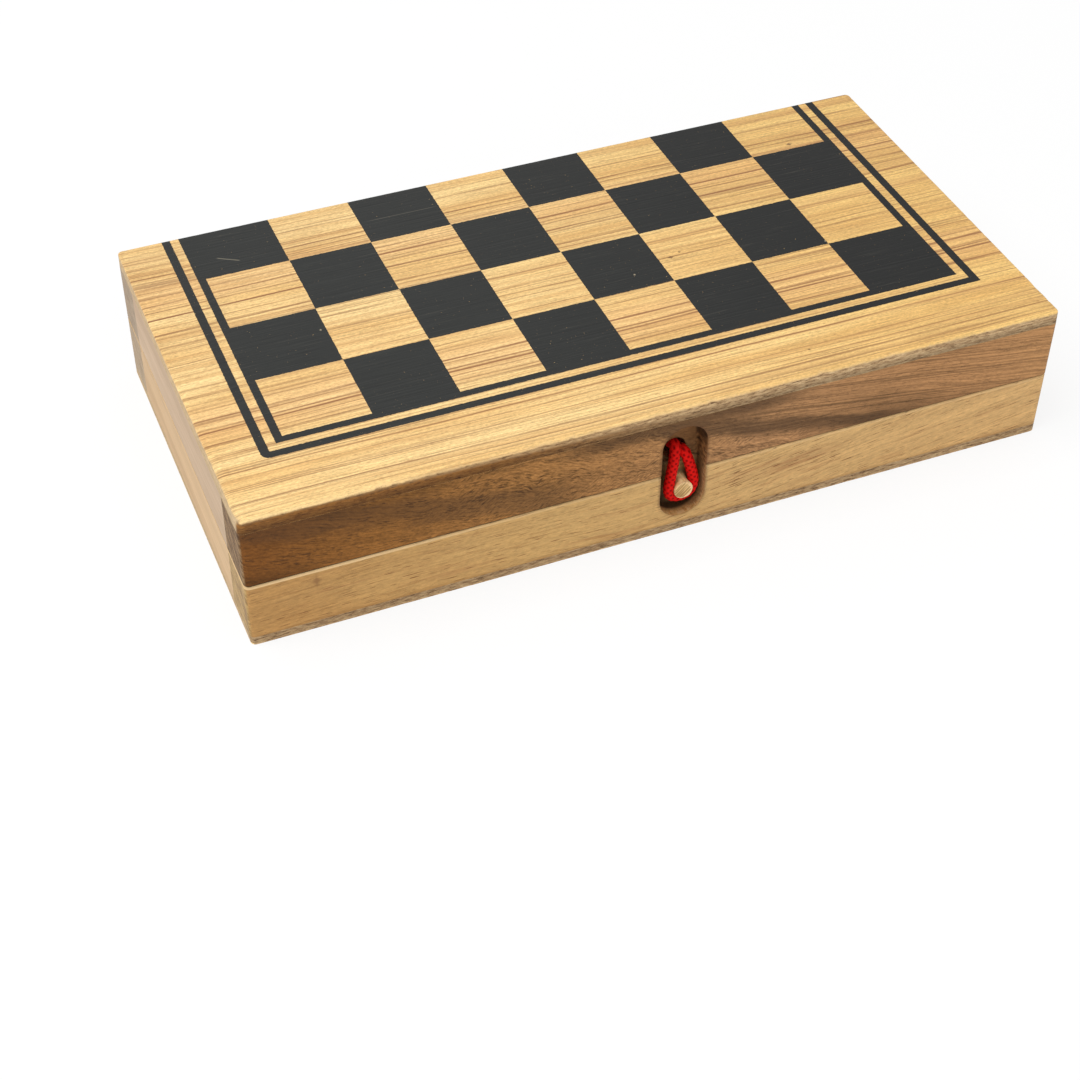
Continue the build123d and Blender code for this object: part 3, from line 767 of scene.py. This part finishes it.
def felt_finish():
    """Matted red felt with stray lighter fibres."""
    finish, x, y, z = begin("red_felt")
    mat = cloud(x * 0.25, y * 0.25, z * 0.25, 4, 0.7)
    nap = cloud(x * 5, y * 5, z * 5, 3, 0.6)
    hairs = cloud(x * 0.7 + nap * 1.6, y * 4.6, 4, 2)
    matted = mat * 0.5 + nap * 0.5
    colour = ramp(matted, (0.38, (0.42, 0.004, 0.006)), (0.62, (0.66, 0.014, 0.012)))
    colour = mix(between(hairs, 0.66, 0.74) * 0.35, colour, (0.82, 0.1, 0.07))
    return finish.dress(colour, 0.88, nap * 0.25 + mat * 0.3, Sheen_Weight=0.25, gloss=0.2)


def tray_finish(name, along_y, seed):
    """Tray walls: a pale rim on top, dark inside, grey-brown outside."""
    finish, x, y, z = begin(name)
    along, across = (y, x) if along_y else (x, y)
    tone, pores, height, fibres = grain(along, z + along * 0.03, across, seed)
    rim_tone = grain(along, across, z, seed + 3)[0]
    outer = ramp(tone, (0.4, (0.34, 0.19, 0.085)), (0.66, (0.6, 0.38, 0.185)))
    inner = ramp(tone, (0.4, (0.085, 0.036, 0.014)), (0.66, (0.23, 0.105, 0.042)))
    rim = ramp(rim_tone, (0.4, (0.6, 0.33, 0.125)), (0.66, (0.8, 0.5, 0.225)))
    well = well_x if along_y else well_y
    within = between(abs(across), well + 0.3, well + 0.05)
    colour = mix(within, outer, inner)
    colour = mix(between(z + fibres * 0.4, tray_rim_z - 0.35, tray_rim_z), colour, rim)
    colour = mix(pores * 0.6, colour, shade(colour, 0.35))
    return finish.dress(colour, 0.46 + fibres * 0.16, height, gloss=0.32)


def plywood_finish(name, seed):
    """The tray's thin plywood bottom, layered at its edge."""
    finish, x, y, z = begin(name)
    tone, pores, height, _ = grain(x, y, z, seed)
    colour = ramp(tone, (0.4, (0.5, 0.32, 0.16)), (0.66, (0.72, 0.52, 0.3)))
    layer = reckon("SINE", z * 5.2) * 0.5 + 0.5
    rim = most(between(abs(x), tray_x - 0.2, tray_x), between(abs(y), tray_y - 0.2, tray_y))
    colour = mix(rim * layer * 0.5, colour, (0.24, 0.13, 0.06))
    colour = mix(pores * 0.5, colour, (0.25, 0.13, 0.06))
    return finish.dress(colour, 0.6, height, gloss=0.3)


def turned_finish(name, seed, tones, contrast, by_column=True, feet=(), foot_tone=None):
    """Turned men, each from a stick of its own tone; knights, found by their feet, have eyes."""
    finish, x, y, z = begin(name)
    stick = reckon("FLOOR", (x + well_x - 0.5) / man_pitch) if by_column else 0
    settings = {"noise_dimensions": "1D"}
    own = finish.read("ShaderNodeTexWhiteNoise", settings, {"W": stick + seed}, "Value")
    turn = own * 9
    along, across, through = (y, x, z) if by_column else (x, z, y)
    leaning = across * 0.75 + through * 0.66 + turn
    drift = cloud(along * 0.05 + turn, leaning * 0.12, turn, 2) * 5
    rings = reckon("SINE", (leaning + drift) * 1.9) * 0.5 + 0.5
    lines = cloud(along * 0.05 + turn, (leaning + drift) * 0.9, turn, 3, 0.6)
    fibres = cloud(along * 0.22, across * 3.4 + turn, through * 3.4, 3, 0.6)
    open_pores = cloud(along * 0.3, across * 2.4 + turn, through * 2.4, 1)
    pores = between(open_pores, 0.62, 0.72)
    low, middle, high = tones
    body = ramp(own, (0, low), (0.5, middle), (1, high))
    figure = rings * 0.3 + lines * 0.95 + fibres * 0.35
    colour = shade(body, (figure - 0.75) * contrast + 1)
    colour = mix(pores * (0.05 + contrast * 0.35), colour, shade(body, 0.3))
    height = fibres * 0.04 - pores * 0.03
    for foot_x, towards in feet:
        up = (x - foot_x) * towards
        if foot_tone:
            smoke = inside(up, -1, knight_rings_height + 0.2, 0.5)
            colour = mix(smoke * 0.85, colour, shade(foot_tone, figure * 1.25 + 0.06))
        from_eye = distance(up - knight_eye[0], y * towards - knight_eye[1])
        ring = inside(from_eye, 0.62, 0.85, 0.2)
        colour = mix(ring * 0.75, colour, shade(colour, 0.22))
        height = height - ring * 0.25
    return finish.dress(colour, 0.36 + fibres * 0.2, height, gloss=0.4)


def metal_finish(name, bright, dull, roughness):
    """Drawn or stamped metal with fine scratches and tarnish in patches."""
    finish, x, y, z = begin(name)
    patch = cloud(x * 0.12, y * 0.2, z * 0.2, 3, 0.5)
    scratch = cloud(x * 0.8, y * 7, z * 7, 3, 0.7)
    colour = mix(between(patch, 0.36, 0.7) * 0.7, bright, dull)
    rough = scratch * 0.22 + patch * 0.18 + roughness
    return finish.dress(colour, rough, scratch * 0.02, Metallic=1)


# Pieces
def stand_in(piece, name, slot, body):
    """Shows a finer piece in place of a solid, on the same body."""
    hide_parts(name)
    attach(piece, body)


def worn_panel(name, inner_z, outer_z, seed, wear, material):
    """A plywood panel over the whole plan, its outer rim rubbed round and chipped by wear."""
    thickness = abs(outer_z - inner_z)
    outward = 1 if outer_z > inner_z else -1
    mesh = bmesh.new()
    bmesh.ops.create_cube(mesh, size=MM)
    bmesh.ops.scale(mesh, vec=(box_length, box_width, thickness), verts=mesh.verts)
    bmesh.ops.translate(mesh, vec=(0, 0, (inner_z + outer_z) / 2 * MM), verts=mesh.verts)
    settings = {"affect": "EDGES", "profile": 0.5, "material": -1, "offset_type": "OFFSET"}
    upright = long_edges(mesh, 2, 1)
    bmesh.ops.bevel(mesh, geom=upright, offset=corner_round * MM, segments=6, **settings)
    rim = [
        edge for edge in mesh.edges
        if all(abs(vertex.co.z / MM - outer_z) < 0.01 for vertex in edge.verts)
    ]
    bmesh.ops.bevel(mesh, geom=rim, offset=(0.12 + 0.22 * wear) * MM, segments=4, **settings)
    face = max(mesh.faces, key=lambda part: part.calc_area() * part.normal.z * outward)
    bmesh.ops.inset_region(mesh, faces=[face], thickness=0.8 * MM)
    for axis, least, cuts in ((2, 2, 5), (0, 50, 300), (1, 50, 156)):
        bmesh.ops.subdivide_edges(mesh, edges=long_edges(mesh, axis, least), cuts=cuts)
    half = Vector((box_length / 2 - corner_round, box_width / 2 - corner_round))
    for vertex in mesh.verts:
        x, y, z = vertex.co / MM
        past = max(abs(x) - half.x, 0), max(abs(y) - half.y, 0)
        over = Vector((math.copysign(past[0], x), math.copysign(past[1], y)))
        depth = (outer_z - z) * outward
        if over.length < 0.05 or depth > thickness - 0.01:
            continue
        rub = fuzzy(x * 0.045, y * 0.045, seed * 0.045)
        chip = max(uneven(x * 0.3, y * 0.3, seed * 0.3 + 9) - 0.22, 0) * 0.9
        fuzz = fuzzy(x * 0.9, y * 0.9, z * 2.2 + seed)
        grit = fuzzy(x * 2.4, y * 2.4, z * 4 + seed)
        at_arris = share_of(depth, 1.6, 0)
        above_joint = share_of(depth, thickness, thickness - 1.2)
        used = wear * (0.06 + 0.94 * share_of(y, 5, -55))
        used *= 1 - 0.7 * share_of(x, 60, 110)
        inward = (fuzz * 0.14 + grit * 0.09) * above_joint * (wear * 0.3 + used * 0.7)
        inward += at_arris * (0.16 + rub * 0.26 + chip) * used
        edge_share = share_of(over.length, 0, corner_round)
        sink = edge_share * at_arris * (0.16 + rub * 0.2 + chip * 0.6 + grit * 0.08) * used
        moved = Vector((x, y)) - over.normalized() * inward
        vertex.co = Vector((moved.x, moved.y, z - sink * outward)) * MM
    panel = finished(name, mesh, material)
    panel.data.set_sharp_from_angle(angle=math.radians(50))
    return panel


def latch_loop():
    """The elastic loop: out of its hole, round under the peg and back in."""
    corners = [
        (2.9, -53.8, 27.4), (3.25, -58.3, 27.3), (3.45, -61.5, 29.3), (2.85, -62.4, 24.5),
        (1.8, -63, 19), (1, -63.4, 14.6), (1.7, -63.1, 11.4), (4.9, -63, 10.3),
        (8, -63, 11.4), (9.1, -63.2, 14.4), (8.55, -63.2, 18.6), (6.15, -61.9, 27),
        (5.3, -58.6, 25), (5.3, -53.8, 25.2),
    ]
    mesh = plaited_cord(smooth_line("loop_line", corners), 1.66, 0.12)
    return finished("latch_loop_plait", mesh, red_plait)


def loop_knot():
    """The knot that joins the cord's two ends behind the wall: three bights drawn tight."""
    corners = [
        (-3.2, -0.75, 1.3), (-0.6, 0.75, 2.1), (3.3, -0.7, 1.5), (3.6, 0.7, -1.2),
        (0.4, -0.75, -1.7), (-1.2, 0.75, 0.6), (1.9, -0.4, 1.9), (1, 0.75, -2.1),
        (-2.9, -0.7, -1.8), (-3.7, 0.55, -0.2),
    ]
    centre = Vector((3.9, -51.6, 26.5))
    line = smooth_line("knot_line", [Vector(corner) + centre for corner in corners], closed=True)
    mesh = plaited_cord(line, 1.22, 0.16)
    return finished("loop_knot_plait", mesh, red_plait)


def whittled_peg():
    """A dowel whittled by knife: a rough round head on a neck that holds the cord."""
    head_x, head_z = peg_x + 0.35, peg_z - 0.1
    knife_marks, lean, crest_height = 0.07, 0.576, 0.16
    rings = (
        (0.3, 0), (0.3, 2.45), (0.38, 2.8), (0.6, 2.95), (1, 2.94), (1.5, 2.75),
        (2.1, 2.5), (3.6, 2.32), (5.2, 2.35), (5.95, 3), (12.6, 3), (12.6, 0),
    )
    mesh = bmesh.new()
    profile = [(radius * MM, depth * MM, 0) for depth, radius in rings]
    turned(mesh, profile, (0, 1, 0), 26, 0.001 * MM)
    bmesh.ops.recalc_face_normals(mesh, faces=mesh.faces)
    for vertex in mesh.verts:
        x, y, z = vertex.co / MM
        turn = math.atan2(z, x)
        cut = 1 + knife_marks * uneven(math.cos(turn) * 1.6, math.sin(turn) * 1.6, y * 0.12)
        tilt = lean * share_of(y, 2.4, 6)
        crest = 1 + crest_height * max(0, math.sin(turn)) * share_of(y, 1, 2)
        moved = (head_x + tilt + x * cut, front_y + y, head_z + z * cut * crest)
        vertex.co = Vector(moved) * MM
    peg = finished("latch_peg_dowel", mesh, peg_finish())
    peg.data.set_sharp_from_angle(angle=math.radians(50))
    return peg


def felt_lining():
    """A loose-laid felt sheet whose top is slightly uneven."""
    mesh = bmesh.new()
    bmesh.ops.create_grid(mesh, x_segments=150, y_segments=62, size=0.5 * MM)
    bmesh.ops.scale(mesh, vec=(2 * well_x - 0.2, 2 * well_y - 0.2, 1), verts=mesh.verts)
    bmesh.ops.translate(mesh, vec=(0, 0, (felt_low_z + 0.92) * MM), verts=mesh.verts)
    for vertex in mesh.verts:
        x, y, _ = vertex.co / MM
        hollow = fuzzy(x * 0.08, y * 0.08, 1) * 0.14 + fuzzy(x * 0.7, y * 0.7, 4) * 0.05
        vertex.co.z -= hollow * MM
    bmesh.ops.solidify(mesh, geom=mesh.faces[:], thickness=0.7 * MM)
    bmesh.ops.recalc_face_normals(mesh, faces=mesh.faces)
    return finished("felt_lining", mesh, felt_finish())


# A knight's head from the side: how far forward and how far up from its foot, foot to foot
knight_outline = (
    (-5.6, 7.3), (-6.9, 9.2), (-7.05, 13.4), (-5.3, 14.5), (-6.95, 15.7), (-6.95, 16.6),
    (-5.2, 17.7), (-6.8, 18.9), (-6.7, 19.8), (-4.9, 20.9), (-6.4, 22.1), (-6.1, 24),
    (-5.5, 27), (-4.6, 31), (-3.4, 35.2), (-2.3, 38.1), (-1.7, 38.5), (-1.2, 37.9),
    (-1, 36), (-0.2, 34.6), (1.6, 31.6), (3.6, 27.6), (5.4, 24), (6.7, 21.6),
    (7, 20.6), (6.8, 19.7), (6.1, 19), (5, 19.3), (5.5, 18.5), (5.2, 17.7), (4.3, 17.3),
    (2.8, 18), (1.4, 18.4), (0.2, 17.9), (-0.3, 16.8), (0.1, 15.7), (1.2, 15.1),
    (2.8, 14.9), (4.6, 14.2), (6.1, 12.8), (6.8, 10.8), (6.6, 8.9), (5.6, 7.3),
)


def from_outline(up, aside):
    """How far a point inside the knight's head lies from its outline."""
    spot = Vector((aside, up))
    nearest = 100
    for start, end in zip(knight_outline, knight_outline[1:] + knight_outline[:1]):
        start, end = Vector(start), Vector(end)
        run = end - start
        share = share_of((spot - start).dot(run), 0, run.length_squared)
        nearest = min(nearest, (spot - start - run * share).length)
    return nearest


def carved_knight(name, material):
    """A knight on its side: three turned rings, and a flat horse's head whittled at its edges."""
    low, high = (Vector(corner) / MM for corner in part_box(name))
    towards = 1 if name.endswith("1") else -1
    foot_x = low.x if towards > 0 else high.x
    axis_z = (low.z + high.z) / 2
    radius = (high.z - low.z) / 2
    mesh = bmesh.new()
    half = 5.5
    corners = [mesh.verts.new((up, aside, -half)) for aside, up in knight_outline]
    for pair in zip(corners, corners[1:] + corners[:1]):
        mesh.edges.new(pair)
    bmesh.ops.contextual_create(mesh, geom=mesh.edges[:])
    grown = bmesh.ops.extrude_face_region(mesh, geom=mesh.faces[:])["geom"]
    raised = [part for part in grown if isinstance(part, bmesh.types.BMVert)]
    bmesh.ops.translate(mesh, vec=(0, 0, 2 * half), verts=raised)
    bmesh.ops.triangulate(mesh, faces=[face for face in mesh.faces if len(face.verts) > 4])
    cuts = [((7.9 + 0.6 * step, 0, 0), (1, 0, 0)) for step in range(51)]
    cuts += [((0, 0.6 * step, 0), (0, 1, 0)) for step in range(-11, 12)]
    cuts += [((0, 0, height), (0, 0, 1)) for height in (-2.5, 0, 2.5)]
    for spot, across in cuts:
        parts = mesh.verts[:] + mesh.edges[:] + mesh.faces[:]
        bmesh.ops.bisect_plane(mesh, geom=parts, dist=0.02, plane_co=spot, plane_no=across)
    for vertex in mesh.verts:
        up, aside, high_up = vertex.co
        share = share_of(from_outline(up, aside), 0, 1.3)
        rounded = 0.72 + 0.28 * math.sqrt(1 - (1 - share) ** 2)
        slim = 1 - 0.55 * share_of(up, 20, 38.6) ** 1.2
        slim -= 0.22 * share_of(aside, 0, 7) * (up > 15)
        knife = 0.12 * uneven(up * 0.35, aside * 0.35, high_up * 0.2 + foot_x)
        vertex.co.z = high_up * min(1, rounded * slim + knife * share * 0.3)
    ring_rise = 2.6
    ring_shape = ((0.15, 0.75), (0.5, 0.2), (1.1, 0), (1.7, 0.05), (2.2, 0.4), (ring_rise, 1.5))
    rings = [(0, 0), (0, radius - 0.9)]
    for ring in range(3):
        rings += [(ring * ring_rise + up, radius - less) for up, less in ring_shape]
    rings.append((knight_rings_height, 0))
    base = bmesh.new()
    turned(base, [(up, 0, reach) for up, reach in rings], (1, 0, 0), 64, 0.001)
    foot = bpy.data.meshes.new("knight_foot")
    base.to_mesh(foot)
    base.free()
    mesh.from_mesh(foot)
    bpy.data.meshes.remove(foot)
    for vertex in mesh.verts:
        up, aside, high_up = vertex.co
        vertex.co = Vector((foot_x + towards * up, towards * aside, axis_z + high_up)) * MM
    bmesh.ops.recalc_face_normals(mesh, faces=mesh.faces)
    knight = finished(name + "_carved", mesh, material)
    knight.data.set_sharp_from_angle(angle=math.radians(35))
    stand_in(knight, name, name.split("_")[0] + "_men_wood", "tray")


red_plait = cord_finish()
loop = latch_loop()
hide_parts("latch_loop")
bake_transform(loop)

stand_in(loop_knot(), "loop_knot", "cord_red", "lid")
stand_in(whittled_peg(), "latch_peg", "peg_wood", "base")

lid_board = board_finish("lid_board", lid_skin_z, lid_top_z)
base_board = board_finish("base_board", base_skin_z, 0)
lid_panel = worn_panel("lid_panel_worn", lid_skin_z, lid_top_z, 1, 1, lid_board)
stand_in(lid_panel, "lid_panel", "board_veneer", "lid")
base_panel = worn_panel("base_panel_worn", base_skin_z, 0, 31, 0.1, base_board)
stand_in(base_panel, "base_panel", "board_veneer", "base")

felt = felt_lining()
stand_in(felt, "tray_felt", "felt_red", "tray")

light_tones = ((0.72, 0.5, 0.27), (0.66, 0.42, 0.235), (0.8, 0.62, 0.36))
dark_tones = ((0.05, 0.02, 0.011), (0.17, 0.064, 0.023), (0.42, 0.225, 0.075))
light_men = turned_finish("light_men_wood", 2, light_tones, 0.75)
dark_men = turned_finish("dark_men_wood", 5, dark_tones, 1.5)
knight_tones = {
    "light": (1, ((0.8, 0.6, 0.33),) * 3, None),
    "dark": (3, ((0.36, 0.165, 0.055),) * 3, (0.085, 0.032, 0.014)),
}
for side, (seed, tones, foot_tone) in knight_tones.items():
    one, other = side + "_knight_1", side + "_knight_2"
    feet = ((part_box(one)[0][0] / MM, 1), (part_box(other)[1][0] / MM, -1))
    wood = turned_finish(side + "_knight_wood", seed, tones, 0.8, False, feet, foot_tone)
    carved_knight(one, wood)
    carved_knight(other, wood)
brass = metal_finish("worn_brass", (0.86, 0.64, 0.29), (0.6, 0.41, 0.17), 0.24)
steel = metal_finish("pin_steel_bright", (0.62, 0.61, 0.59), (0.36, 0.34, 0.31), 0.22)

# Walls: pale and dark tone, seed of the grain and its slant
plain_walls = {
    "lid_back": (back_finish, (0.46, 0.26, 0.12), (0.22, 0.105, 0.042), 11, -0.04),
    "base_back": (back_finish, (0.76, 0.5, 0.22), (0.52, 0.3, 0.115), 19, 0.03),
    "lid_left": (end_wall_finish, (0.62, 0.445, 0.285), (0.44, 0.285, 0.16), 5, 0.04),
    "lid_right": (end_wall_finish, (0.6, 0.41, 0.25), (0.42, 0.26, 0.14), 23, -0.05),
    "base_left": (end_wall_finish, (0.7, 0.475, 0.25), (0.52, 0.325, 0.15), 9, -0.04),
    "base_right": (end_wall_finish, (0.7, 0.46, 0.23), (0.52, 0.31, 0.135), 29, 0.03),
    "tray_front": (tray_finish, False, 37),
    "tray_back": (tray_finish, False, 41),
    "tray_left": (tray_finish, True, 43),
    "tray_right": (tray_finish, True, 47),
}
finishes = {
    "lid_front_wall": lid_front_finish(),
    "base_front_wall": base_front_finish(),
    "tray_bottom": plywood_finish("tray_plywood", 53),
}
for wall, (make, *looks) in plain_walls.items():
    finishes[wall + "_wall"] = make(wall + "_timber", *looks)
for name in nodes.keys():
    if name in finishes or "knight" in name:
        continue
    if name.startswith(("light_", "dark_")):
        finishes[name] = light_men if name.startswith("light") else dark_men
    elif name.endswith("_pin"):
        finishes[name] = steel
    elif name.endswith(("_leaf", "_screws")):
        finishes[name] = brass
for name, material in finishes.items():
    nodes[name].data.materials.clear()
    nodes[name].data.materials.append(material)


# Studio
def soft_lamp(name, place, size, power):
    """A large square studio lamp that faces the box."""
    data = bpy.data.lights.new(name, "AREA")
    data.size = size
    data.energy = power
    towards_box = (-Vector(place)).to_track_quat("-Z", "Y").to_matrix().to_4x4()
    link(name, data).matrix_world = Matrix.Translation(place) @ towards_box


def seen_rays(finish):
    """1 for what the camera sees, directly, in gloss or through glass, and 0 for other light."""
    rays = finish.add("ShaderNodeLightPath", {}, {})
    kinds = ("Is Camera Ray", "Is Glossy Ray", "Is Transmission Ray")
    return most(*(Reading(finish, rays.outputs[kind]) for kind in kinds))


def light_room(ambient):
    """A white room that lights the box at the ambient strength."""
    room = Finish("studio", room=True)
    strength = seen_rays(room) * (1 - ambient) + ambient
    white = room.read("ShaderNodeBackground", {}, {"Color": (1, 1, 1), "Strength": strength})
    room.end(white)
    bpy.context.scene.world = room.material


def lay_floor():
    """A wide white floor that keeps the box's soft shadow."""
    mesh = bmesh.new()
    bmesh.ops.create_grid(mesh, x_segments=2, y_segments=2, size=6)
    white = Finish("floor_white")
    paper = white.read("ShaderNodeBsdfDiffuse", {}, {"Color": (0.95, 0.95, 0.95)})
    glow = white.read("ShaderNodeEmission", {}, {"Color": (1, 1, 1), "Strength": 1})
    share = seen_rays(white) * 0.82
    white.end(white.read("ShaderNodeMixShader", {}, {0: share, 1: paper, 2: glow}))
    finished("floor", mesh, white.material, smooth=False)


soft_lamp("key_lamp", (-0.7, -0.1, 1.35), 1.1, 14)
soft_lamp("front_lamp", (0.3, -1.4, 1), 1.1, 4)
light_room(0.6)
lay_floor()
bpy.context.scene.view_settings.view_transform = "Standard"
